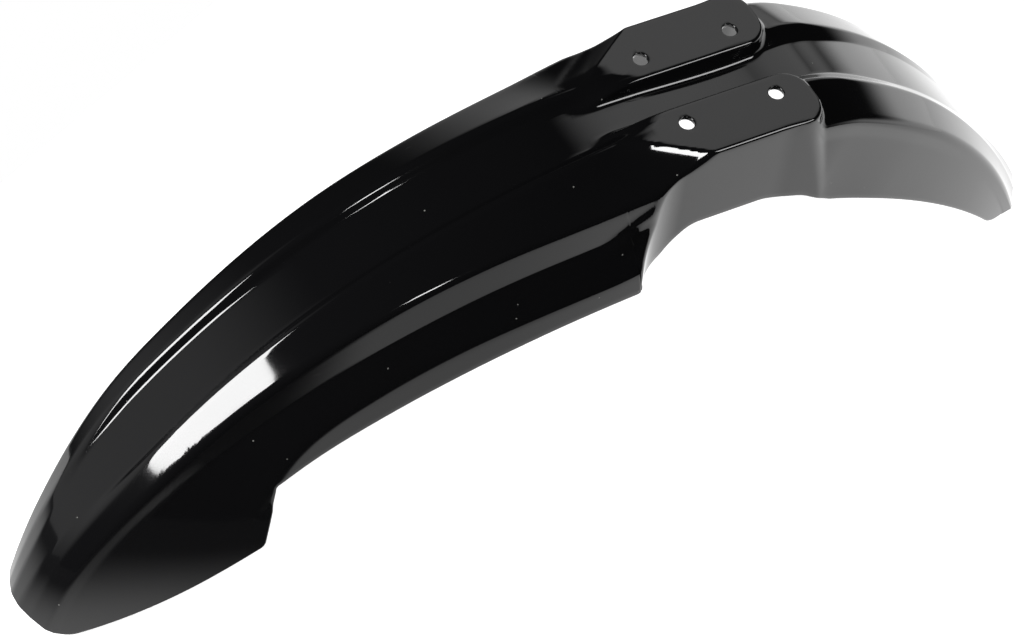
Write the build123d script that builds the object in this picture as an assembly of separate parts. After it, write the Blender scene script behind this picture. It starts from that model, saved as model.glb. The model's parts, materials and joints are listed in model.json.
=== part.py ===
from build123d import *
import os
from collections import namedtuple
from math import cos, radians, sin, tan

# Front mudguard of a motocross motorcycle, one moulded shell.
# X forward, Y to the left, Z up from the bolting pads. Millimetres.
# The origin is the middle of the four bolt holes on the pads' top face.

# Moulding
wall = 3.0
ridge_round = 4.5
shoulder_round = 7.0
crease_round = 5.0

# Bolting pads
hole_spacing_along = 64.0
hole_spacing_across = 55.0
hole_diameter = 9.5
pad_inner = 13.5
pad_outer = 56.0
pad_front = 84.0
pad_rear = 55.0
pad_end_round = 17.0
pad_draft = 12.0
pad_edge_chamfer = 1.2
pad_depth = 24.0
pad_front_corner = (68.0, 28.0)
pad_front_heading = 57.0
pad_front_angle = 45.0
pad_ramp_heading = -46.0
pad_ramp_angle = 29.0

# Ridge line in side view: level at the pads, then arcs to the nose and to the tail
front_start = 32.0
front_radius = 495.0
front_length = 150.0
nose_radius = 390.0
tail_start = 33.0
tail_bend_radius = 118.0
tail_bend_angle = 28.0
tail_radius = 416.0

# Cross-sections, each square to the ridge line at its place along it.
# Half widths and drops below the ridge line; flare is the side's outward run per unit of drop.
Station = namedtuple(
    "Station",
    "along trough_half trough_drop ridge_half ridge_drop "
    "shoulder_half shoulder_drop crease_half crease_drop flare",
)
key_sections = [
    Station(-380, 9.0, -7.5, 22.0, 0.0, 37.0, 12.0, 40.5, 22.5, 0.46),
    Station(-270, 15.0, -0.4, 23.5, 0.0, 45.0, 6.5, 47.5, 16.0, 0.34),
    Station(-160, 17.0, 2.0, 24.5, 0.0, 51.5, 6.5, 53.0, 18.0, 0.24),
    Station(-85, 14.5, 5.5, 24.0, 0.0, 53.5, 8.0, 54.8, 21.0, 0.20),
    Station(-30, 12.5, 9.5, 20.0, 2.5, 55.0, 10.0, 57.0, 26.0, 0.28),
    Station(45, 14.0, 9.5, 21.5, 0.6, 59.5, 14.0, 63.5, 35.0, 0.74),
    Station(110, 17.5, 6.5, 24.5, 0.0, 57.0, 19.0, 62.0, 38.0, 0.78),
    Station(180, 18.5, 6.0, 25.0, 0.0, 53.0, 16.0, 59.0, 35.5, 0.73),
    Station(260, 18.5, 5.5, 24.0, 0.0, 48.5, 10.8, 55.0, 31.0, 0.69),
    Station(360, 18.0, 4.2, 22.5, 0.0, 42.0, 7.5, 48.0, 23.0, 0.69),
    Station(430, 17.5, 3.2, 21.5, 0.0, 38.5, 5.5, 42.5, 16.0, 0.60),
    Station(520, 8.0, -1.5, 17.5, 1.0, 29.0, 6.0, 33.0, 12.5, 0.68),
    Station(610, 4.0, -5.0, 14.0, 3.5, 24.0, 10.0, 28.5, 17.5, 0.80),
]
section_count = 13
form_depth = 90.0

# Lip along each side, turned down from the flare between the fork relief and the ear
Lip = namedtuple("Lip", "along fold_half fold_drop lean shelf_drop")
lips = [
    Lip(40, 79.5, 60.0, 0.22, 84.0),
    Lip(102, 78.5, 59.0, 0.23, 84.0),
    Lip(164, 75.8, 58.0, 0.26, 82.0),
    Lip(226, 71.7, 54.5, 0.29, 80.0),
    Lip(288, 67.5, 49.5, 0.30, 76.0),
    Lip(350, 65.0, 47.0, 0.30, 66.0),
    Lip(412, 70.0, 58.5, 0.30, 61.0),
]
shelf_fall = 0.3

# Fork leg relief, in plan, with its draft
relief_half = 54.5
relief_draft = 5.5
relief_front = 46.0
relief_round = 48.0
relief_rear = -26.0
relief_rear_half = 58.0
relief_rear_end = -70.0
relief_rear_round = 20.0

# Trimmed edge in side view
nose_under = (424.0, -309.0)
nose_tip = (470.0, -286.0)
ear_corner = (318.0, -211.0)
ear_top = (310.0, -168.0)
flank_middle = (197.0, -106.0)
wing_corner = (81.0, -77.0)
arch_front_foot = (58.0, -73.0)
arch_front = (37.0, -57.0)
arch_rear = (-15.0, -57.0)
arch_rear_foot = (-45.0, -64.5)
tail_corner = (-67.0, -77.0)
tail_middle = (-150.0, -121.0)
tail_bend = (-232.0, -193.0)
tail_end = (-292.0, -211.0)
side_reach = 160.0
edge_rounds = {
    tail_corner: 4.0,
    arch_rear_foot: 30.0,
    arch_rear: 30.0,
    arch_front: 20.0,
    arch_front_foot: 12.0,
    wing_corner: 5.0,
    ear_top: 2.0,
    ear_corner: 9.0,
    nose_under: 15.0,
    tail_bend: 30.0,
}


def ridge_plane(along):
    """Plane square to the ridge line: its x is to the left, its y is outwards from the guard."""
    if along > front_start + front_length:
        first = front_length / front_radius
        turn = first + (along - front_start - front_length) / nose_radius
        x = front_start + front_radius * sin(first) + nose_radius * (sin(turn) - sin(first))
        z = front_radius * (cos(first) - 1) + nose_radius * (cos(turn) - cos(first))
    elif along > front_start:
        turn = (along - front_start) / front_radius
        x = front_start + front_radius * sin(turn)
        z = front_radius * (cos(turn) - 1)
    elif along > -tail_start:
        turn = 0.0
        x = along
        z = 0.0
    else:
        bend = radians(tail_bend_angle)
        turn = min((-tail_start - along) / tail_bend_radius, bend)
        x = -tail_start - tail_bend_radius * sin(turn)
        z = tail_bend_radius * (cos(turn) - 1)
        rest = -tail_start - along - tail_bend_radius * turn
        if rest > 0:
            turn = bend + rest / tail_radius
            x = x - tail_radius * (sin(turn) - sin(bend))
            z = z + tail_radius * (cos(turn) - cos(bend))
        turn = -turn
    return Plane(origin=(x, 0, z), x_dir=(0, 1, 0), z_dir=(cos(turn), 0, -sin(turn)))


def slope(column, place):
    """Change per millimetre of one column of the key sections at a key section."""
    before = key_sections[max(place - 1, 0)]
    after = key_sections[min(place + 1, len(key_sections) - 1)]
    return (after[column] - before[column]) / (after.along - before.along)


def section_values(along):
    """Values of the section at a place, on smooth curves through the key sections."""
    place = max(i for i, key in enumerate(key_sections[:-1]) if key.along <= along)
    start = key_sections[place]
    end = key_sections[place + 1]
    span = end.along - start.along
    t = (along - start.along) / span
    values = [
        start[c] * (1 + 2 * t) * (1 - t) ** 2
        + end[c] * (3 - 2 * t) * t**2
        + span * slope(c, place) * t * (1 - t) ** 2
        - span * slope(c, place + 1) * (1 - t) * t**2
        for c in range(1, len(start))
    ]
    return Station(along, *values)


def inset(points, amount):
    """Moves each side of a closed clockwise outline inwards by the amount."""
    moved = []
    for before, here, after in zip(points[-1:] + points[:-1], points, points[1:] + points[:1]):
        into = (Vector(*here) - Vector(*before)).normalized().rotate(Axis.Z, -90)
        out = (Vector(*after) - Vector(*here)).normalized().rotate(Axis.Z, -90)
        shift = (into + out) * (amount / (1 + into.dot(out)))
        moved.append((here[0] + shift.X, here[1] + shift.Y))
    return moved


def rounded(before, corner, after, radius, count):
    """Round at a corner of a section, as a count of short curves from its first side to its second."""
    into = (Vector(*corner) - Vector(*before)).normalized()
    turn = into.get_signed_angle(Vector(*after) - Vector(*corner), Vector(0, 0, 1))
    reach = radius * abs(tan(radians(turn / 2 / count)))
    start = Vector(*corner) - into * (radius * abs(tan(radians(turn / 2))))
    curves = []
    for _ in range(count):
        middle = start + into * reach
        into = into.rotate(Axis.Z, turn / count)
        end = middle + into * reach
        curves.append(Bezier(start, middle, end))
        start = end
    return curves


def section(station, thickness):
    """Left half of the guard's form in section, the thickness inside its outer face."""
    foot = (station.trough_half, -station.ridge_drop - station.trough_drop)
    ridge = (station.ridge_half, -station.ridge_drop)
    shoulder = (station.shoulder_half, -station.shoulder_drop)
    crease = (station.crease_half, -station.crease_drop)
    skirt = (station.crease_half + station.flare * (form_depth - station.crease_drop), -form_depth)
    left = [foot, ridge, shoulder, crease, skirt]
    right = [(-y, n) for y, n in reversed(left)]
    left = inset(right + left, thickness)[len(right) :]
    top = (-thickness, left[0][1])
    bottom = (-thickness, left[-1][1])
    if thickness:
        return ridge_plane(station.along) * make_face(Polyline(top, *left, bottom, close=True))
    edges = [Line(top, left[0])]
    start = left[0]
    rounds = [(ridge_round, 3), (shoulder_round, 3), (crease_round, 2)]
    for before, corner, after, (radius, count) in zip(left, left[1:], left[2:], rounds):
        curves = rounded(before, corner, after, radius, count)
        edges += [Line(start, curves[0] @ 0), *curves]
        start = curves[-1] @ 1
    edges.append(Polyline(start, left[-1], bottom, top))
    return ridge_plane(station.along) * make_face(edges)


def side_lip(thickness):
    """Space outboard of the left lip, above the shelf that it stands on."""
    faces = []
    for lip in lips:
        top = form_depth - lip.fold_drop
        foot = (lip.fold_half + lip.lean * (lip.shelf_drop - lip.fold_drop), -lip.shelf_drop)
        head = (lip.fold_half - lip.lean * top, -lip.fold_drop + top)
        far_head = (side_reach, head[1])
        far_foot = (side_reach, foot[1] - shelf_fall * (side_reach - foot[0]))
        corners = inset([head, far_head, far_foot, foot], -thickness)
        faces.append(ridge_plane(lip.along) * make_face(Polyline(*corners, close=True)))
    return loft(faces)


def fork_relief(thickness):
    """Space for the left fork leg, the thickness closer in than the outer wall."""
    half = relief_half - thickness
    radius = relief_round + thickness
    inner = Line((relief_rear, half), (relief_front, half))
    front = CenterArc((relief_front, half + radius), radius, -90, 90)
    rear = Line((relief_rear_end, relief_rear_half - thickness), (relief_rear, half))
    around = Polyline(
        front @ 1,
        (relief_front + radius, side_reach),
        (relief_rear_end, side_reach),
        rear @ 0,
    )
    plan = make_face([rear, inner, front, around])
    corner = plan.vertices().sort_by_distance((relief_rear, half, 0))[0]
    plan = fillet(corner, relief_rear_round)
    above = extrude(plan, amount=pad_depth)
    return extrude(plan, amount=-form_depth - pad_depth, taper=relief_draft) + above


def pad(thickness):
    """Left bolting pad as a solid block, the thickness inside its outer faces."""
    plan = make_face(
        Polyline(
            (-pad_rear, pad_inner),
            (pad_front, pad_inner),
            (pad_front, pad_outer),
            (-pad_rear, pad_outer),
            close=True,
        )
    )
    plan = fillet(plan.vertices().group_by(Axis.X)[0], pad_end_round)
    if thickness:
        plan = offset(plan, -thickness)
    block = extrude(Pos(0, 0, -thickness) * plan, amount=-pad_depth, taper=-pad_draft)
    if not thickness:
        block = chamfer(block.faces().sort_by(Axis.Z)[-1].edges(), pad_edge_chamfer)
    for heading, angle in ((pad_front_heading, pad_front_angle), (pad_ramp_heading, pad_ramp_angle)):
        outwards = Vector(sin(radians(angle)), 0, cos(radians(angle))).rotate(Axis.Z, heading)
        slope_face = Plane(origin=(*pad_front_corner, 0), z_dir=outwards).offset(-thickness)
        block = split(block, bisect_by=slope_face, keep=Keep.BOTTOM)
    return block


def form(thickness):
    """Left half of the solid inside the guard's outer face, or the thickness inside that face."""
    first = key_sections[0].along
    step = (key_sections[-1].along - first) / (section_count - 1)
    places = [first + step * i for i in range(section_count)]
    body = loft([section(section_values(place), thickness) for place in places])
    body = split(body, bisect_by=Plane.XY.offset(-thickness), keep=Keep.BOTTOM)
    relief = fork_relief(thickness)
    body = body - relief - side_lip(thickness)
    return body + (pad(thickness) - relief)


def kept_side():
    """Side view of the guard down to its trimmed edge."""
    tail = ThreePointArc(tail_bend, tail_middle, tail_corner)
    arch = Polyline(tail_corner, arch_rear_foot, arch_rear, arch_front, arch_front_foot, wing_corner)
    flank = ThreePointArc(wing_corner, flank_middle, ear_top)
    nose = Polyline(ear_top, ear_corner, nose_under, nose_tip)
    above = Polyline(
        nose_tip,
        (nose_tip[0], side_reach),
        (tail_end[0], side_reach),
        tail_end,
        tail_bend,
    )
    face = make_face([tail, arch, flank, nose, above])
    for corner, radius in edge_rounds.items():
        face = fillet(face.vertices().sort_by_distance((corner[0], corner[1], 0))[0], radius)
    return extrude(Plane.XZ * face, amount=side_reach, both=True)


half = (form(0) & kept_side()) - form(wall)
hole = Cylinder(hole_diameter / 2, 2 * pad_depth)
for along in (-hole_spacing_along / 2, hole_spacing_along / 2):
    half = half - Pos(along, hole_spacing_across / 2, 0) * hole
guard = half + mirror(half, Plane.XZ)
os.makedirs("parts", exist_ok=True)
export_step(guard, "parts/front_mudguard.step")
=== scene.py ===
import json
import math

import bpy
import numpy as np
from mathutils import Matrix, Quaternion, Vector


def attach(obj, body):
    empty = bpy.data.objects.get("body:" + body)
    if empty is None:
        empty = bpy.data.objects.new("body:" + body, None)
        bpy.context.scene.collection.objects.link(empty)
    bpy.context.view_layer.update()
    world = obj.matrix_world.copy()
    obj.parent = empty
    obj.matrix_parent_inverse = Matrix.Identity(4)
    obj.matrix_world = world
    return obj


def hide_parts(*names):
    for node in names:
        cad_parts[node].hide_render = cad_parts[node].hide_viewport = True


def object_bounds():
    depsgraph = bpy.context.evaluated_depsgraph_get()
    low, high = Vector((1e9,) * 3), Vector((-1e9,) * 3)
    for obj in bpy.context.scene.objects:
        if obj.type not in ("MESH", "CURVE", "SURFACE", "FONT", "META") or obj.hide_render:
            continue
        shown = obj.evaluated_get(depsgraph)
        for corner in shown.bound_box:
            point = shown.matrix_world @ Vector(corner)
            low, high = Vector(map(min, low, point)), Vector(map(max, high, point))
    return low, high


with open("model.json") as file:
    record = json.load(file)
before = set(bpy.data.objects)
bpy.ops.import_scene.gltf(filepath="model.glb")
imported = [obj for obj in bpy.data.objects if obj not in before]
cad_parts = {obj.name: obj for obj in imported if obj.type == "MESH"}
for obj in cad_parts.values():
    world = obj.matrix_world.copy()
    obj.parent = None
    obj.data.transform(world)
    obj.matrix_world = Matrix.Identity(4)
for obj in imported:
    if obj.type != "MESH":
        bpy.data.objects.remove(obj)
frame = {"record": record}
cad_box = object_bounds()

# Form of the guard, in millimetres, as in the solid: X forward, Y to the left, Z up from the bolting pads
PER_METRE = 1000
WALL = 3.0
TROUGH_ROUND = 4.0
RIDGE_ROUND = 4.5
SHOULDER_ROUND = 7.0
CREASE_ROUND = 5.0

# Ridge line in side view: level at the pads, then arcs to the nose and to the tail
FRONT_START = 32.0
FRONT_RADIUS = 495.0
FRONT_LENGTH = 150.0
NOSE_RADIUS = 390.0
TAIL_START = 33.0
TAIL_BEND_RADIUS = 118.0
TAIL_BEND_ANGLE = math.radians(28.0)
TAIL_RADIUS = 416.0

# Cross-sections, each square to the ridge line: half widths, drops below the line, outward run of the side
# along, trough half and drop, ridge half and drop, shoulder half and drop, crease half and drop, flare
SECTIONS = np.array([
    (-380, 9.0, -7.5, 22.0, 0.0, 37.0, 12.0, 40.5, 22.5, 0.46),
    (-270, 15.0, -0.4, 23.5, 0.0, 45.0, 6.5, 47.5, 16.0, 0.34),
    (-160, 17.0, 2.0, 24.5, 0.0, 51.5, 6.5, 53.0, 18.0, 0.24),
    (-85, 14.5, 5.5, 24.0, 0.0, 53.5, 8.0, 54.8, 21.0, 0.20),
    (-30, 12.5, 9.5, 20.0, 2.5, 55.0, 10.0, 57.0, 26.0, 0.28),
    (45, 14.0, 9.5, 21.5, 0.6, 59.5, 14.0, 63.5, 35.0, 0.74),
    (110, 17.5, 6.5, 24.5, 0.0, 57.0, 19.0, 62.0, 38.0, 0.78),
    (180, 18.5, 6.0, 25.0, 0.0, 53.0, 16.0, 59.0, 35.5, 0.73),
    (260, 18.5, 5.5, 24.0, 0.0, 48.5, 10.8, 55.0, 31.0, 0.69),
    (360, 18.0, 4.2, 22.5, 0.0, 42.0, 7.5, 48.0, 23.0, 0.69),
    (430, 17.5, 3.2, 21.5, 0.0, 38.5, 5.5, 42.5, 16.0, 0.60),
    (520, 8.0, -1.5, 17.5, 1.0, 29.0, 6.0, 33.0, 12.5, 0.68),
    (610, 4.0, -5.0, 14.0, 3.5, 24.0, 10.0, 28.5, 17.5, 0.80),
])
# The solid's loft runs above its last section at the tail's end, so its three drops are this much less here
TAIL_RISE = 3.7
SECTIONS[0, [4, 6, 8]] -= TAIL_RISE
FORM_DEPTH = 220.0

# Lip along each side, turned down from the flare, and the fall of the shelf below it per unit of width
# along, fold half and drop, lean, shelf drop
LIPS = np.array([
    (40, 79.5, 60.0, 0.22, 84.0),
    (102, 78.5, 59.0, 0.23, 84.0),
    (164, 75.8, 58.0, 0.26, 82.0),
    (226, 71.7, 54.5, 0.29, 80.0),
    (288, 67.5, 49.5, 0.30, 76.0),
    (350, 65.0, 47.0, 0.30, 66.0),
    (412, 70.0, 58.5, 0.30, 61.0),
])
SHELF_FALL = 0.3

# Bolting pads and their holes, whose sizes are the bolt pattern's
BOLTS = frame["record"]["mounts"][0]["dims"]
HOLE_ALONG = BOLTS["spacing_x_mm"]
HOLE_ACROSS = BOLTS["spacing_y_mm"]
HOLE_RADIUS = BOLTS["hole_r_mm"]
PAD_INNER = 13.5
PAD_OUTER = 56.0
PAD_REAR = 55.0
PAD_END_ROUND = 17.0
PAD_DRAFT = math.radians(12.0)
PAD_FRONT_CORNER = (68.0, 28.0)
# Places along the ridge line further than this from the origin have neither pad nor relief
PAD_REACH = 150.0
# heading, fall, fall far down and soft edge of the pad's front slope and of the ramp into the trough
PAD_SLOPES = [
    (math.radians(57.0), math.radians(47.0), math.radians(28.0), 0.4),
    (math.radians(-46.0), math.radians(29.0), math.radians(29.0), 6.0),
]
# A slope flattens over this run, and by no more than this rise
PAD_SLOPE_RUN = 9.0
PAD_SLOPE_RISE = 4.0

# Fork leg relief, in plan, with its draft
RELIEF_HALF = 54.5
RELIEF_DRAFT = math.radians(5.5)
RELIEF_FRONT = 46.0
RELIEF_ROUND = 48.0
RELIEF_REAR = -26.0
RELIEF_REAR_HALF = 58.0
RELIEF_REAR_END = -70.0

# Trimmed edge in side view, with the rounds at its corners
NOSE_UNDER, NOSE_TIP = (424.0, -309.0), (470.0, -286.0)
EAR_CORNER, EAR_TOP = (318.0, -211.0), (310.0, -168.0)
FLANK_MIDDLE, WING_CORNER = (197.0, -106.0), (81.0, -77.0)
ARCH_FRONT_FOOT, ARCH_FRONT = (58.0, -73.0), (37.0, -57.0)
ARCH_REAR, ARCH_REAR_FOOT = (-15.0, -57.0), (-45.0, -64.5)
TAIL_CORNER, TAIL_MIDDLE = (-67.0, -77.0), (-150.0, -121.0)
TAIL_BEND, TAIL_END = (-232.0, -193.0), (-292.0, -211.0)
EDGE_ROUNDS = {
    TAIL_BEND: 30,
    TAIL_CORNER: 4,
    ARCH_REAR_FOOT: 30,
    ARCH_REAR: 30,
    ARCH_FRONT: 20,
    ARCH_FRONT_FOOT: 12,
    WING_CORNER: 5,
    EAR_TOP: 2,
    EAR_CORNER: 9,
    NOSE_UNDER: 15,
}

# Edges that the mould leaves soft, in millimetres; inside the wall they shrink, down to the least round
PAD_EDGE = 1.6
PAD_FOOT = 3.0
RELIEF_EDGE = 2.2
RELIEF_REAR_SOFT = 0.4
RELIEF_CORNER = 3.0
LIP_FOLD = 1.2
LIP_FOOT = 1.5
RIM = 1.2
HOLE_SOFT = 0.7
LEAST_ROUND = 0.3
# The ribs fade out towards the nose: their rounds grow by a factor between two places along the ridge line
FADE_FROM = 420.0
FADE_TO = 520.0
FADE_ROUND = 4.0
# The face stays this far under the solid's top
TOP_MARGIN = 0.02

# Mesh: rows along the ridge line, columns on each half, and how much closer columns lie where a face bends
ROWS = 476
COLUMNS = 61
OUTER_SPREAD = 22.0
INNER_SPREAD = 12.0
BEND_LIMIT = 0.35
SMOOTHED_ROWS = 13
# Gaps between rows at places along the ridge line, and at distances from either end, summed over samples
ROW_GAPS = [(-84, 2.6), (-74, 1.0), (-44, 1.2), (30, 1.6), (42, 0.9), (98, 0.8), (112, 2.6),
            (300, 2.6), (316, 1.1), (352, 1.1), (368, 2.6)]
TAIL_GAPS = [(0, 0.25), (4, 0.5), (24, 2.6)]
NOSE_GAPS = [(24, 2.6), (4, 0.4), (0, 0.2)]
ROW_SAMPLES = 6000
# Rows lean into line with the end cuts over this run; the cuts are read between these heights over the line
TILT_RUN = 90.0
TAIL_CUT = (-14.0, 10.0)
NOSE_CUT = (-14.0, 6.0)
CUT_MARGIN = 0.05
EDGE_HIGHEST = 8.0
EDGE_STEP = 0.8
# Widths at which a section is worked out, and the reach to both sides for its change along the line
GRID_FIRST = -1.0
GRID_LAST = 130.0
GRID_STEP = 0.1
CHANGE_REACH = 2.0
# Heights between which a face is searched for, and the widths at which that is first done
SEARCH_LOW = -200.0
SEARCH_HIGH = 20.0
SEARCH_HALVINGS = 34
SEARCH_WIDTHS = np.linspace(0, 100, 1001)
# Places round the rim, from the outer to the inner face, and the power that squares its half circle
RIM_ANGLES = np.radians([25, 50, 90, 130, 155])
RIM_POWER = 0.7
HOLE_SIDES = 64
HOLE_ARC = np.radians([0, 22.5, 45, 67.5, 90])
HOLE_CLEAR = 3.0
SHARP_ANGLE = math.radians(38)

# Finish of the plastic: colours, roughness, and heights in metres
BLACK = (0.003, 0.003, 0.0033, 1)
DUST = (0.16, 0.16, 0.15, 1)
GLOSSY = 0.04
LESS_GLOSSY = 0.08
HAIRLINE_ROUGHNESS = 0.18
SPECK_ROUGHNESS = 0.4
SINK_HEIGHT = 0.00005
RIPPLE_HEIGHT = 0.00001
GRAIN_HEIGHT = 0.000001
HAIRLINE_DEPTH = 0.000003
# Cells for specks in a metre, how high a cell's draw is if it holds one, and the speck's edge in a cell
SPECK_SCALE = 170.0
SPECK_DRAW = 0.955
SPECK_EDGE = (0.05, 0.11)
# Turn of the hairlines, and their changes in a metre along and across them
HAIRLINE_TURN = (0.3, 0.5, 0.4)
HAIRLINE_SCALE = (18.0, 420.0, 420.0)

# Camera: target, direction, distance and roll, in metres and degrees; lens and sensor in millimetres
CAMERA_TARGET = (0.15125, 0.0537, -0.1)
CAMERA_AZIMUTH = 50.0
CAMERA_ELEVATION = 50.424
CAMERA_DISTANCE = 2.4851
CAMERA_ROLL = 13.422
CAMERA_LENS = 145.311
CAMERA_SENSOR = 36.0

# Sheet of paper, in metres and in its own axes: its edges, turn, the fades to dark of its painted shade and
# of its painted reflection towards the front edge, and gap under the guard
PAPER_BACK = -1.2
PAPER_FRONT = 0.52
PAPER_RIGHT = -0.41
PAPER_LEFT = 1.1
PAPER_TURN = math.radians(24.2)
PAPER_PAINTED_SHADE_FADE = (0.40, 0.48)
PAPER_PAINTED_REFLECTION_FADE = (-0.3, 0.48)
PAPER_GAP = 0.0005


def ridge_line(s):
    """Place (x, z) of the ridge line and its signed turn, at distances s along it."""
    s = np.asarray(s, float)
    first = FRONT_LENGTH / FRONT_RADIUS
    bend = TAIL_BEND_ANGLE
    front = np.clip((s - FRONT_START) / FRONT_RADIUS, 0, first)
    nose = first + np.clip(s - FRONT_START - FRONT_LENGTH, 0, None) / NOSE_RADIUS
    back = np.clip((-TAIL_START - s) / TAIL_BEND_RADIUS, 0, bend)
    tail = bend + np.clip(-TAIL_START - s - TAIL_BEND_RADIUS * bend, 0, None) / TAIL_RADIUS
    x = np.clip(s, -TAIL_START, FRONT_START)
    x = x + FRONT_RADIUS * np.sin(front) + NOSE_RADIUS * (np.sin(nose) - math.sin(first))
    x = x - TAIL_BEND_RADIUS * np.sin(back) - TAIL_RADIUS * (np.sin(tail) - math.sin(bend))
    z = FRONT_RADIUS * (np.cos(front) - 1) + NOSE_RADIUS * (np.cos(nose) - math.cos(first))
    z = z + TAIL_BEND_RADIUS * (np.cos(back) - 1) + TAIL_RADIUS * (np.cos(tail) - math.cos(bend))
    turn = front + (nose - first) - back - (tail - bend)
    return x, z, turn


def ridge_place(x, z):
    """Distance along the ridge line and height over it, of places in side view."""

    def end(x, start, first_radius, angle, radius):
        """The same for one end of the line: level, then an arc of an angle, then a second arc."""
        turn = np.arctan2(x - start, z + first_radius)
        over = np.hypot(x - start, z + first_radius) - first_radius
        to_x = x - start - (first_radius - radius) * math.sin(angle)
        to_z = z + first_radius - (first_radius - radius) * math.cos(angle)
        far = start + first_radius * angle + radius * (np.arctan2(to_x, to_z) - angle)
        s = np.where(turn > angle, far, start + first_radius * turn)
        n = np.where(turn > angle, np.hypot(to_x, to_z) - radius, over)
        return np.where(x < start, x, s), np.where(x < start, z, n)

    front = end(x, FRONT_START, FRONT_RADIUS, FRONT_LENGTH / FRONT_RADIUS, NOSE_RADIUS)
    back = end(-x, TAIL_START, TAIL_BEND_RADIUS, TAIL_BEND_ANGLE, TAIL_RADIUS)
    return np.where(x < 0, -back[0], front[0]), np.where(x < 0, back[1], front[1])


def smooth_rows(table, s):
    """Values of a table's columns at s, on cubic curves through its rows."""
    along = table[:, 0]
    slopes = np.zeros_like(table)
    slopes[1:-1] = (table[2:] - table[:-2]) / (along[2:] - along[:-2])[:, None]
    slopes[0] = (table[1] - table[0]) / (along[1] - along[0])
    slopes[-1] = (table[-1] - table[-2]) / (along[-1] - along[-2])
    s = np.clip(s, along[0], along[-1])
    i = np.clip(np.searchsorted(along, s, side="right") - 1, 0, len(along) - 2)
    span = (along[i + 1] - along[i])[:, None]
    t = (s - along[i])[:, None] / span
    return (
        table[i] * (1 + 2 * t) * (1 - t) ** 2
        + table[i + 1] * (3 - 2 * t) * t**2
        + span * slopes[i] * t * (1 - t) ** 2
        - span * slopes[i + 1] * (1 - t) * t**2
    )


def unit(vectors):
    """Rows of an array, each made one long."""
    return vectors / np.linalg.norm(vectors, axis=1)[:, None]


def round_corners(points, radii, steps=10):
    """Open outline with the inner points rounded, as an array of points."""
    points = [np.array(p, float) for p in points]
    out = [points[0]]
    for before, corner, after, radius in zip(points, points[1:], points[2:], radii):
        a = (before - corner) / np.linalg.norm(before - corner)
        b = (after - corner) / np.linalg.norm(after - corner)
        half = math.acos(np.clip(a @ b, -1, 1)) / 2
        straight = half > math.pi / 2 - 1e-4
        if radius <= 0 or straight:
            out.append(corner)
            continue
        middle = corner + (a + b) / np.linalg.norm(a + b) * radius / math.sin(half)
        start = corner + a * radius / math.tan(half) - middle
        sweep = math.pi - 2 * half
        sign = 1 if a[0] * b[1] - a[1] * b[0] < 0 else -1
        for k in range(steps + 1):
            angle = sign * sweep * k / steps
            c, d = math.cos(angle), math.sin(angle)
            out.append(middle + np.array([c * start[0] - d * start[1], d * start[0] + c * start[1]]))
    out.append(points[-1])
    return np.array(out)


def arc_points(start, middle, end, count=24):
    """Points on the circle through three points, from the first to the last."""
    (ax, ay), (bx, by), (cx, cy) = start, middle, end
    a, b, c = ax**2 + ay**2, bx**2 + by**2, cx**2 + cy**2
    d = 2 * (ax * (by - cy) + bx * (cy - ay) + cx * (ay - by))
    ux = (a * (by - cy) + b * (cy - ay) + c * (ay - by)) / d
    uy = (a * (cx - bx) + b * (ax - cx) + c * (bx - ax)) / d
    radius = math.hypot(ax - ux, ay - uy)
    first = math.atan2(ay - uy, ax - ux)
    sweep = math.atan2(cy - uy, cx - ux) - first
    sweep = (sweep + math.pi) % (2 * math.pi) - math.pi
    angles = first + sweep * np.linspace(0, 1, count)[1:-1]
    return [start, *((ux + radius * math.cos(t), uy + radius * math.sin(t)) for t in angles), end]


def trimmed_edge():
    """Trimmed edge in side view, from the tail to the nose, with its corners rounded."""
    tail = arc_points(TAIL_BEND, TAIL_MIDDLE, TAIL_CORNER)
    arch = [ARCH_REAR_FOOT, ARCH_REAR, ARCH_FRONT, ARCH_FRONT_FOOT]
    flank = arc_points(WING_CORNER, FLANK_MIDDLE, EAR_TOP)
    inner = [*tail, *arch, *flank, EAR_CORNER, NOSE_UNDER]
    return round_corners([TAIL_END, *inner, NOSE_TIP], [EDGE_ROUNDS.get(p, 0) for p in inner])


def inset_edge():
    """Places s, n of the line the rim's depth inside the trimmed edge, from the tail to the nose."""
    line = trimmed_edge()
    along = unit(np.gradient(line, axis=0))
    line = line + RIM * np.stack([-along[:, 1], along[:, 0]], 1)
    run = np.r_[0, np.cumsum(np.linalg.norm(np.diff(line, axis=0), axis=1))]
    places = np.union1d(run, np.arange(0, run[-1], EDGE_STEP))
    return ridge_place(np.interp(places, run, line[:, 0]), np.interp(places, run, line[:, 1]))


def end_cut(s, n, heights):
    """Place and slope, ds to dn, of the last row inside an end cut, read between two heights."""
    cut = (n > heights[0]) & (n < heights[1])
    slope = np.polyfit(n[cut], s[cut], 1)[0]
    over = s[cut] - slope * n[cut]
    at_tail = s[cut][0] < 0
    return (over.max() + CUT_MARGIN if at_tail else over.min() - CUT_MARGIN), slope


def edge_depth(s, tilt):
    """Height n at which each row meets the inset edge."""
    edge_s, edge_n = inset_edge()
    depth = np.empty(len(s))
    for k in range(len(s)):
        past = edge_s - s[k] - tilt[k] * edge_n
        i = np.nonzero((past[:-1] <= 0) != (past[1:] <= 0))[0]
        t = past[i] / (past[i] - past[i + 1])
        met = edge_n[i] + (edge_n[i + 1] - edge_n[i]) * t
        depth[k] = met[met < EDGE_HIGHEST].max()
    return depth


def convex(a, b, radius):
    """Rounded intersection of two distance fields."""
    both = -radius + np.hypot(a + radius, b + radius)
    return np.where((a > -radius) & (b > -radius), both, np.maximum(a, b))


def concave(a, b, radius):
    """Rounded union of two distance fields."""
    return -convex(-a, -b, radius)


def blended(a, b, width):
    """Smooth larger of two fields that meet at a shallow angle."""
    return np.maximum(a, b) + np.clip(width - np.abs(a - b), 0, None) ** 2 / (4 * width)


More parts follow.
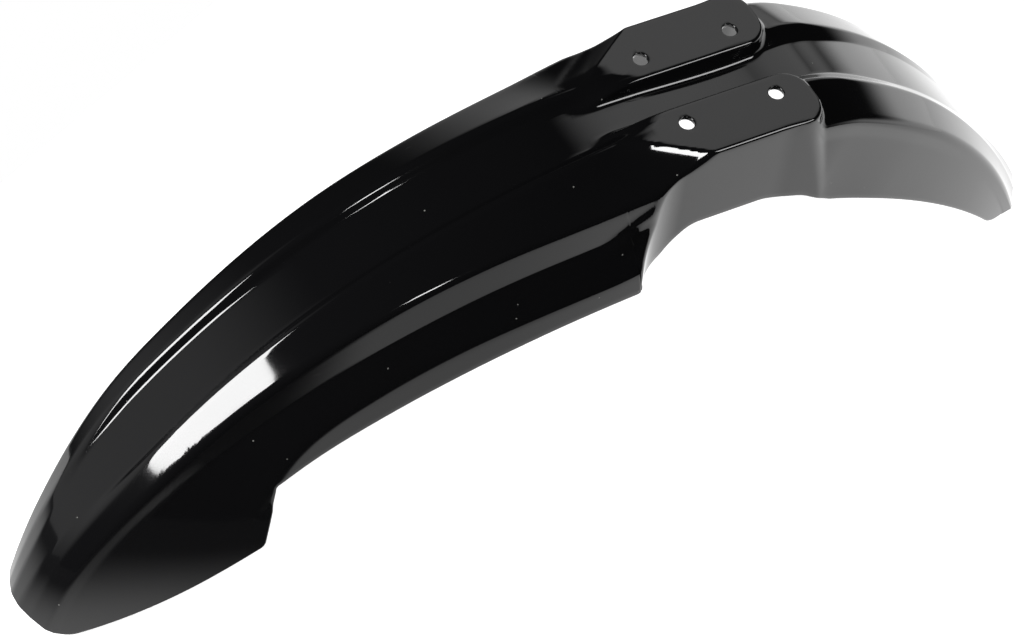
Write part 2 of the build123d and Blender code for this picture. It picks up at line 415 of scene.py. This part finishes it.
def inner_round(radius, inset):
    """Radius of an outer round on the face an inset inside it."""
    return max(radius - inset, LEAST_ROUND)


def left_of(p, q, x, y):
    """Distance of places from the line p to q, in plan, positive on its left."""
    length = math.hypot(q[0] - p[0], q[1] - p[1])
    return ((y - p[1]) * (q[0] - p[0]) - (x - p[0]) * (q[1] - p[1])) / length


def pad_field(x, y, z, inset):
    """Distance field of a bolting pad."""
    rear, inner, outer = -PAD_REAR - x, PAD_INNER - y, y - PAD_OUTER
    plan = np.maximum(convex(rear, inner, PAD_END_ROUND), convex(rear, outer, PAD_END_ROUND))
    wall = (plan + z * math.tan(PAD_DRAFT)) * math.cos(PAD_DRAFT)
    corner_x, corner_y = PAD_FRONT_CORNER
    top = z
    for heading, fall, far_fall, soft in PAD_SLOPES:
        ahead = (x - corner_x) * math.cos(heading) + (y - corner_y) * math.sin(heading)
        run = np.clip(ahead, 0, None)
        flat_run = run - PAD_SLOPE_RUN * (1 - np.exp(-run / PAD_SLOPE_RUN))
        rise = np.minimum((math.tan(fall) - math.tan(far_fall)) * flat_run, PAD_SLOPE_RISE)
        top = blended(top, (ahead * math.tan(fall) - rise + z) * math.cos(fall), soft)
    return convex(top + inset, wall + inset, inner_round(PAD_EDGE, inset))


def relief_field(x, y, z, inset):
    """Distance into the space of a fork leg."""
    arc = RELIEF_ROUND - np.hypot(x - RELIEF_FRONT, y - RELIEF_HALF - RELIEF_ROUND)
    wall = np.where(x > RELIEF_FRONT, arc, y - RELIEF_HALF)
    rear = left_of((RELIEF_REAR_END, RELIEF_REAR_HALF), (RELIEF_REAR, RELIEF_HALF), x, y)
    wall = -blended(-rear, -wall, RELIEF_REAR_SOFT)
    lean = z * math.tan(RELIEF_DRAFT)
    wall = (wall + lean) * math.cos(RELIEF_DRAFT)
    end = (x - RELIEF_REAR_END + lean) * math.cos(RELIEF_DRAFT)
    return concave(wall, end, RELIEF_CORNER) + inset


def lip_field(y, n, lip, inset):
    """Distance into the space outboard of a side lip, above its shelf."""
    fold_half, fold_drop, lean, shelf = (lip[:, i : i + 1] for i in range(1, 5))
    side = (y - fold_half + lean * (n + fold_drop)) / np.sqrt(1 + lean**2)
    foot = fold_half + lean * (shelf - fold_drop)
    top = (n + shelf + SHELF_FALL * (y - foot)) / math.sqrt(1 + SHELF_FALL**2)
    return concave(side, top, LIP_FOOT) + inset


def column_density(length, angle, spread):
    """Density of columns along every section, higher where it bends, evened out over the rows beside it."""
    bend = np.abs(np.gradient(angle, axis=1)) / length
    density = 1 + spread * np.minimum(bend, BEND_LIMIT)
    bell = np.exp(-np.linspace(-2, 2, SMOOTHED_ROWS) ** 2)
    bell = bell / bell.sum()
    beside = SMOOTHED_ROWS // 2
    padded = np.pad(density, ((beside, beside), (0, 0)), mode="edge")
    return sum(share * padded[i : i + len(density)] for i, share in enumerate(bell))


class Skin:
    """Outer face of the guard's left half, or the face an inset inside it, in sections at s."""

    def __init__(self, s, tilt, inset):
        self.s = s
        self.tilt = tilt[:, None]
        self.inset = inset
        self.x, self.z, self.turn = ridge_line(s)
        self.lip = smooth_rows(LIPS, s)
        self.lipped = ((s >= LIPS[0, 0]) & (s <= LIPS[-1, 0]))[:, None]
        self.grid = np.arange(GRID_FIRST, GRID_LAST, GRID_STEP)
        self.height = self.profiles(s)
        after, before = self.profiles(s + CHANGE_REACH), self.profiles(s - CHANGE_REACH)
        self.change = (after - before) / (2 * CHANGE_REACH)
        self.lift = 1 / np.sqrt(1 + np.gradient(self.height, self.grid, axis=1) ** 2)

    def profiles(self, s):
        """Heights of the sections at s over the widths of the grid."""
        return np.array([self.profile(row) for row in smooth_rows(SECTIONS, s)])

    def profile(self, row):
        """Heights of one section over the widths of the grid, with its corners rounded."""
        along, foot, step, ridge, low, shoulder, fall, crease, drop, flare = row
        fade = 1 + (FADE_ROUND - 1) * np.clip((along - FADE_FROM) / (FADE_TO - FADE_FROM), 0, 1)
        rounds = [TROUGH_ROUND * fade, RIDGE_ROUND * fade, SHOULDER_ROUND, CREASE_ROUND]
        points = [
            (-foot, -low - step),
            (foot, -low - step),
            (ridge, -low),
            (shoulder, -fall),
            (crease, -drop),
            (crease + flare * (FORM_DEPTH - drop), -FORM_DEPTH),
        ]
        line = round_corners(points, rounds)
        if self.inset:
            steps = unit(np.gradient(line, axis=0))
            line = line + self.inset * np.stack([steps[:, 1], -steps[:, 0]], 1)
            line = line[np.r_[True, np.maximum.accumulate(line[:-1, 0]) < line[1:, 0]]]
        return np.interp(self.grid, line[:, 0], line[:, 1])

    def field(self, y, n):
        """Distance field of the whole form at the places y, n of every section."""
        at = np.clip((y - self.grid[0]) / GRID_STEP, 0, len(self.grid) - 2)
        i = at.astype(int)
        t = at - i
        rows = np.arange(len(self.s))[:, None]
        height, lift, change = (
            table[rows, i] * (1 - t) + table[rows, i + 1] * t
            for table in (self.height, self.lift, self.change)
        )
        body = (n - height - self.tilt * n * change) * lift
        x = self.x[:, None] + n * np.sin(self.turn)[:, None]
        z = self.z[:, None] + n * np.cos(self.turn)[:, None]
        near_pads = (np.abs(self.s) < PAD_REACH)[:, None]
        padded = concave(body, pad_field(x, y, z, self.inset), PAD_FOOT + self.inset / 2)
        padded = np.maximum(padded, z + TOP_MARGIN + self.inset)
        relieved = convex(padded, relief_field(x, y, z, self.inset), inner_round(RELIEF_EDGE, self.inset))
        body = np.where(near_pads, relieved, body)
        folded = blended(body, lip_field(y, n, self.lip, self.inset), inner_round(LIP_FOLD, self.inset))
        return np.where(self.lipped, folded, body)

    def surface(self, y):
        """Height n of the face at the places y of every section."""
        low = np.full(y.shape, SEARCH_LOW)
        high = np.full(y.shape, SEARCH_HIGH)
        for _ in range(SEARCH_HALVINGS):
            middle = (low + high) / 2
            outside = self.field(y, middle) > 0
            high = np.where(outside, middle, high)
            low = np.where(outside, low, middle)
        return (low + high) / 2

    def rows(self, depth, count, spread):
        """Places y, n of a count of columns in every section, from the middle to the trimmed edge."""
        y = np.broadcast_to(SEARCH_WIDTHS, (len(self.s), len(SEARCH_WIDTHS))).copy()
        n = self.surface(y)
        dy, dn = np.gradient(y, axis=1), np.gradient(n, axis=1)
        length = np.hypot(dy, dn)
        run = np.cumsum(column_density(length, np.arctan2(dn, dy), spread) * length, axis=1)
        out = np.empty((len(self.s), count))
        for k in range(len(self.s)):
            below = np.nonzero(n[k] < depth[k])[0]
            last = max(below[0], 1) if len(below) else len(SEARCH_WIDTHS) - 1
            t = (n[k, last - 1] - depth[k]) / max(n[k, last - 1] - n[k, last], 1e-9)
            end = run[k, last - 1] + np.clip(t, 0, 1) * (run[k, last] - run[k, last - 1])
            out[k] = np.interp(np.linspace(run[k, 0], end, count), run[k], y[k])
        out[:, 0] = 0
        return out, self.surface(out)

    def points(self, y, n):
        """Places in space of the points y, n."""
        x, z, turn = ridge_line(self.s[:, None] + self.tilt * n)
        return np.stack([x + n * np.sin(turn), y, z + n * np.cos(turn)], -1)


def row_places(first, last):
    """Places of the sections along the ridge line, closer together where the form changes fast."""
    gaps = [(first + past, gap) for past, gap in TAIL_GAPS] + ROW_GAPS
    gaps += [(last - short, gap) for short, gap in NOSE_GAPS]
    s = np.linspace(first, last, ROW_SAMPLES)
    gap = np.interp(s, *zip(*gaps))
    run = np.r_[0, np.cumsum((s[1:] - s[:-1]) * 2 / (gap[1:] + gap[:-1]))]
    return np.interp(np.linspace(0, run[-1], ROWS), run, s)


def both_sides(left):
    """Rows of points from the right edge to the left edge, from the left half's rows."""
    right = left[:, :0:-1] * (1, -1, 1)
    return np.concatenate([right, left], 1)


def guard_faces():
    """Points of the outer and of the inner face, in rows from the tail to the nose."""
    edge_s, edge_n = inset_edge()
    behind = edge_s < 0
    first, first_slope = end_cut(edge_s[behind], edge_n[behind], TAIL_CUT)
    last, last_slope = end_cut(edge_s[~behind], edge_n[~behind], NOSE_CUT)
    s = row_places(first, last)
    tilt = first_slope * np.clip(1 - (s - first) / TILT_RUN, 0, 1)
    tilt = tilt + last_slope * np.clip(1 - (last - s) / TILT_RUN, 0, 1)
    depth = edge_depth(s, tilt)
    for inset, spread in ((0.0, OUTER_SPREAD), (WALL, INNER_SPREAD)):
        skin = Skin(s, tilt, inset)
        yield both_sides(skin.points(*skin.rows(depth, COLUMNS, spread)))


def edge_loop(grid):
    """Entries round the edge of a grid of rows, once around."""
    return np.concatenate([grid[:-1, -1], grid[-1, :0:-1], grid[:0:-1, 0], grid[0, :-1]])


def rim_points(outer, inner):
    """Loops of points round the rounded rim, from the outer face's edge to the inner face's."""
    top, under = edge_loop(outer), edge_loop(inner)
    across = top - under
    out = unit(np.cross(across, np.roll(top, -1, 0) - np.roll(top, 1, 0)))
    loops = []
    for angle in RIM_ANGLES:
        c, d = math.cos(angle), math.sin(angle)
        squared = math.copysign(abs(c) ** RIM_POWER, c)
        loops.append((top + under) / 2 + across / 2 * squared + out * (RIM * d**RIM_POWER))
    return loops


def guard_mesh():
    """Closed shell of the guard: outer face, inner face with half as many columns, and their rim."""
    outer, inner = guard_faces()
    rows, width = outer.shape[:2]
    outer_id = np.arange(rows * width).reshape(rows, width)
    used = np.zeros((rows, width), bool)
    used[:, ::2] = True
    used[[0, -1]] = True
    inner_id = np.full((rows, width), -1)
    inner_id[used] = rows * width + np.arange(used.sum())
    corners = [outer_id[:-1, :-1], outer_id[1:, :-1], outer_id[1:, 1:], outer_id[:-1, 1:]]
    faces = np.stack(corners, -1).reshape(-1, 4).tolist()
    for near, far in zip(inner_id, inner_id[1:]):
        for j in range(0, width - 1, 2):
            around = [*near[j : j + 3], *far[j : j + 3][::-1]]
            faces.append([int(v) for v in around if v >= 0])
    points = [outer.reshape(-1, 3), inner[used], *rim_points(outer, inner)]
    before = edge_loop(outer_id)
    rim_ids = rows * width + used.sum() + np.arange(len(RIM_ANGLES) * len(before))
    for here in [*rim_ids.reshape(len(RIM_ANGLES), -1), edge_loop(inner_id)]:
        faces += np.stack([before, np.roll(before, -1), np.roll(here, -1), here], -1).tolist()
        before = here
    mesh = bpy.data.meshes.new("guard")
    mesh.from_pydata((np.concatenate(points) / PER_METRE).tolist(), [], faces)
    mesh.validate()
    return mesh


def hole_cutters():
    """One mesh of the four bolt holes' spaces, their mouths rounded."""
    mouth = HOLE_RADIUS + HOLE_SOFT
    arc = [(HOLE_SOFT * math.cos(a), HOLE_SOFT * math.sin(a)) for a in HOLE_ARC]
    profile = [(mouth, HOLE_CLEAR)]
    profile += [(mouth - d, c - HOLE_SOFT) for c, d in arc]
    profile += [(mouth - c, HOLE_SOFT - WALL - d) for c, d in arc]
    profile += [(mouth, -WALL - HOLE_CLEAR)]
    points, faces = [], []
    for x in (-HOLE_ALONG / 2, HOLE_ALONG / 2):
        for y in (-HOLE_ACROSS / 2, HOLE_ACROSS / 2):
            base = len(points)
            for r, z in profile:
                for k in range(HOLE_SIDES):
                    t = 2 * math.pi * k / HOLE_SIDES
                    points.append((x + r * math.cos(t), y + r * math.sin(t), z))
            for i in range(len(profile) - 1):
                for k in range(HOLE_SIDES):
                    a = base + i * HOLE_SIDES + k
                    b = base + i * HOLE_SIDES + (k + 1) % HOLE_SIDES
                    faces.append((b, a, a + HOLE_SIDES, b + HOLE_SIDES))
            faces.append(tuple(base + k for k in range(HOLE_SIDES)))
            end = base + (len(profile) - 1) * HOLE_SIDES
            faces.append(tuple(end + k for k in reversed(range(HOLE_SIDES))))
    mesh = bpy.data.meshes.new("hole_spaces")
    mesh.from_pydata((np.array(points) / PER_METRE).tolist(), [], faces)
    return mesh


def build_guard():
    """The guard as one piece, with its bolt holes cut."""
    guard = bpy.data.objects.new("guard_shell", guard_mesh())
    bpy.context.scene.collection.objects.link(guard)
    cutter = bpy.data.objects.new("hole_spaces", hole_cutters())
    bpy.context.scene.collection.objects.link(cutter)
    cut = guard.modifiers.new("holes", "BOOLEAN")
    cut.operation = "DIFFERENCE"
    cut.solver = "EXACT"
    cut.object = cutter
    shape = bpy.context.evaluated_depsgraph_get()
    mesh = bpy.data.meshes.new_from_object(guard.evaluated_get(shape))
    guard.modifiers.clear()
    guard.data = mesh
    bpy.data.objects.remove(cutter)
    mesh.shade_smooth()
    mesh.set_sharp_from_angle(angle=SHARP_ANGLE)
    mesh.materials.clear()
    mesh.materials.append(plastic())
    return guard


class Nodes:
    """Short way to add and join the nodes of a material or of the world."""

    def __init__(self, owner):
        owner.use_nodes = True
        self.tree = owner.node_tree
        self.tree.nodes.clear()

    def put(self, socket, value):
        """Links another node's output to a socket, or sets the socket's own value."""
        if isinstance(value, bpy.types.NodeSocket):
            self.tree.links.new(value, socket)
        else:
            socket.default_value = value

    def add(self, kind, *values, settings=None, **named):
        """Node of a kind, with values for its first sockets in their order and for others by name."""
        node = self.tree.nodes.new("ShaderNode" + kind)
        for name, value in (settings or {}).items():
            setattr(node, name, value)
        for socket, value in zip(node.inputs, values):
            self.put(socket, value)
        for name, value in named.items():
            self.put(node.inputs[name.replace("_", " ")], value)
        return node

    def math(self, operation, *values):
        """Result of an operation on one or two values."""
        return self.add("Math", *values, settings={"operation": operation}).outputs[0]

    def step(self, value, low, high, to_low=0.0, to_high=1.0):
        """Smooth change from one value to another as the input goes from low to high."""
        smooth = {"interpolation_type": "SMOOTHSTEP"}
        return self.add("MapRange", value, low, high, to_low, to_high, settings=smooth).outputs[0]


def plastic():
    """Glossy black moulded plastic with dust specks, hairlines and a slight ripple."""
    material = bpy.data.materials.new("black_plastic")
    n = Nodes(material)
    place = n.add("TexCoord").outputs["Object"]

    def noise(scale, detail, vector=place):
        """Soft noise from 0 to 1, with so many changes in a metre."""
        return n.add("TexNoise", Vector=vector, Scale=scale, Detail=detail).outputs["Fac"]

    cells = n.add("TexVoronoi", Vector=place, Scale=SPECK_SCALE)
    draw = n.add("TexWhiteNoise", Vector=cells.outputs["Position"]).outputs["Value"]
    dot = n.step(cells.outputs["Distance"], *SPECK_EDGE, 1.0, 0.0)
    speck = n.math("MULTIPLY", n.math("GREATER_THAN", draw, SPECK_DRAW), dot)
    stretched = n.add("Mapping", Vector=place, Rotation=HAIRLINE_TURN, Scale=HAIRLINE_SCALE)
    hair = noise(1.0, 1.0, stretched.outputs[0])
    hairline = n.math("MULTIPLY", n.step(hair, 0.72, 0.78), n.step(noise(26.0, 2.0), 0.56, 0.66))

    colour = n.add("Mix", speck, settings={"data_type": "RGBA"})
    first_colour, second_colour = colour.inputs[6], colour.inputs[7]
    n.put(first_colour, BLACK)
    n.put(second_colour, DUST)
    rough = n.step(noise(9.0, 5.0), 0.3, 0.75, GLOSSY, LESS_GLOSSY)
    rough = n.math("ADD", rough, n.math("MULTIPLY", hairline, HAIRLINE_ROUGHNESS))
    rough = n.math("ADD", rough, n.math("MULTIPLY", speck, SPECK_ROUGHNESS))
    sink = n.math("MULTIPLY", noise(24.0, 1.0), SINK_HEIGHT)
    ripple = n.math("MULTIPLY", noise(70.0, 1.0), RIPPLE_HEIGHT)
    grain = n.math("MULTIPLY", noise(900.0, 2.0), GRAIN_HEIGHT)
    height = n.math("ADD", n.math("ADD", sink, ripple), grain)
    height = n.math("SUBTRACT", height, n.math("MULTIPLY", hairline, HAIRLINE_DEPTH))
    bump = n.add("Bump", Strength=1.0, Distance=1.0, Height=height)
    shader = n.add(
        "BsdfPrincipled", Base_Color=colour.outputs[2], Roughness=rough, Normal=bump.outputs[0], IOR=1.5
    )
    n.add("OutputMaterial", Surface=shader.outputs[0])
    return material


def toward(azimuth, elevation):
    """Direction at an azimuth from +X to +Y and an elevation, in degrees."""
    a, e = math.radians(azimuth), math.radians(elevation)
    return Vector((math.cos(e) * math.cos(a), math.cos(e) * math.sin(a), math.sin(e)))


def facing(target, direction, distance, roll):
    """Placement of a camera or lamp that faces a target from a direction; a roll lifts its right side."""
    turn = direction.to_track_quat("Z", "Y") @ Quaternion((0, 0, 1), math.radians(roll))
    return Matrix.Translation(Vector(target) + direction * distance) @ turn.to_matrix().to_4x4()


def camera():
    """Camera at the photograph's place, with its direction, roll and field of view."""
    lens = bpy.data.cameras.new("camera")
    lens.sensor_fit = "HORIZONTAL"
    lens.sensor_width = CAMERA_SENSOR
    lens.lens = CAMERA_LENS
    view = bpy.data.objects.new("camera", lens)
    direction = toward(CAMERA_AZIMUTH, CAMERA_ELEVATION)
    view.matrix_world = facing(CAMERA_TARGET, direction, CAMERA_DISTANCE, CAMERA_ROLL)
    bpy.context.scene.collection.objects.link(view)
    bpy.context.scene.camera = view


def paper():
    """Paper that is white to the camera, while painted shade darkens its colour and its painted reflection
    glow fades towards the front edge, where the light is taken to fall off.
    """
    material = bpy.data.materials.new("paper")
    n = Nodes(material)
    along = n.add("SeparateXYZ", n.add("TexCoord").outputs["Object"]).outputs["X"]
    # Painted shade: the paper's own colour darkens towards its front edge, standing in for light that falls
    # off there
    shade = n.step(along, *PAPER_PAINTED_SHADE_FADE, 0.85, 0.03)
    grey = n.add("CombineColor", shade, shade, shade).outputs[0]
    sheet = n.add("BsdfDiffuse", Color=grey)
    path = n.add("LightPath")
    # Painted reflection: to glossy rays the paper glows, brightest at the back and fading to nothing at the
    # front edge, standing in for light that falls off there
    painted_reflection = n.math("MAXIMUM", path.outputs["Is Glossy Ray"], path.outputs["Is Transmission Ray"])
    painted_reflection = n.math("MULTIPLY", painted_reflection, n.step(along, *PAPER_PAINTED_REFLECTION_FADE, 1.3, 0.0))
    # To the camera the paper glows more where the painted shade darkens it, so that it stays white
    seen = n.math("MULTIPLY", path.outputs["Is Camera Ray"], n.step(along, *PAPER_PAINTED_SHADE_FADE, 0.8, 1.0))
    glow = n.add("Emission", Strength=n.math("ADD", painted_reflection, seen))
    both = n.add("AddShader", sheet.outputs[0], glow.outputs[0])
    n.add("OutputMaterial", Surface=both.outputs[0])
    return material


def floor(level):
    """Sheet of white paper that the guard's nose stands on, turned to the guard."""
    mesh = bpy.data.meshes.new("paper")
    corners = [
        (PAPER_BACK, PAPER_RIGHT, 0),
        (PAPER_FRONT, PAPER_RIGHT, 0),
        (PAPER_FRONT, PAPER_LEFT, 0),
        (PAPER_BACK, PAPER_LEFT, 0),
    ]
    mesh.from_pydata(corners, [], [(0, 1, 2, 3)])
    mesh.materials.append(paper())
    sheet = bpy.data.objects.new("paper", mesh)
    sheet.matrix_world = Matrix.Translation((0, 0, level)) @ Matrix.Rotation(PAPER_TURN, 4, "Z")
    bpy.context.scene.collection.objects.link(sheet)


def softbox(name, target, direction, distance, size, radiance, roll=0.0):
    """Rectangular lamp that faces a target from a direction, as bright all over as given."""
    lamp = bpy.data.lights.new(name, "AREA")
    lamp.shape = "RECTANGLE"
    lamp.size, lamp.size_y = size
    lamp.energy = radiance * math.pi * size[0] * size[1]
    box = bpy.data.objects.new(name, lamp)
    box.matrix_world = facing(target, direction, distance, roll)
    bpy.context.scene.collection.objects.link(box)


def lamps():
    """Softboxes ahead of the nose and to the left of the pads, and a small lamp beside the camera."""
    softbox("front_softbox", target=(0.34, 0.02, -0.12), direction=toward(-3, 27), distance=1.3,
            size=(0.60, 0.84), radiance=23.0, roll=-23)
    softbox("left_softbox", target=(0.0, 0.05, -0.01), direction=toward(130, 42), distance=1.5,
            size=(0.5, 0.5), radiance=10.0)
    softbox("camera_lamp", target=(0.06, 0.045, -0.01), direction=toward(65, 43), distance=1.6,
            size=(0.26, 0.2), radiance=25.0)


def room():
    """White to the camera; to the guard, a pale backdrop, dim panels and a dark room elsewhere."""
    world = bpy.data.worlds.new("room")
    bpy.context.scene.world = world
    n = Nodes(world)
    ray = n.add("TexCoord").outputs["Generated"]
    height = n.add("SeparateXYZ", ray).outputs["Z"]

    def panel(azimuth, elevation, outer, inner, level):
        """Round patch of light about a direction, which fades out from an inner to an outer angle."""
        dot = n.add("VectorMath", ray, toward(azimuth, elevation), settings={"operation": "DOT_PRODUCT"})
        edge, middle = math.cos(math.radians(outer)), math.cos(math.radians(inner))
        return n.math("MULTIPLY", n.step(dot.outputs["Value"], edge, middle), level)

    backdrop = panel(-165, 0, 70, 30, n.step(height, -0.05, 0.15, 1.8, 0.0))
    over_pads = panel(-134, 38, 20, 8, 1.1)
    behind_pads = panel(-140, 16, 18, 4, 0.9)
    beside_nose = panel(-36, 5, 40, 10, 0.45)
    dark = 0.012
    level = n.math("MAXIMUM", backdrop, n.math("MAXIMUM", over_pads, behind_pads))
    level = n.math("ADD", level, n.math("ADD", beside_nose, dark))
    path = n.add("LightPath")
    seen = n.math("MAXIMUM", path.outputs["Is Camera Ray"], path.outputs["Is Transmission Ray"])
    level = n.math("ADD", n.math("MULTIPLY", level, n.math("SUBTRACT", 1.0, seen)), seen)
    sky = n.add("Background", Color=(1, 1, 1, 1), Strength=level)
    n.add("OutputWorld", Surface=sky.outputs[0])


guard = build_guard()
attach(guard, "root")
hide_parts("front_mudguard")
camera()
floor(cad_box[0][2] - PAPER_GAP)
lamps()
room()
bpy.context.scene.view_settings.view_transform = "Standard"
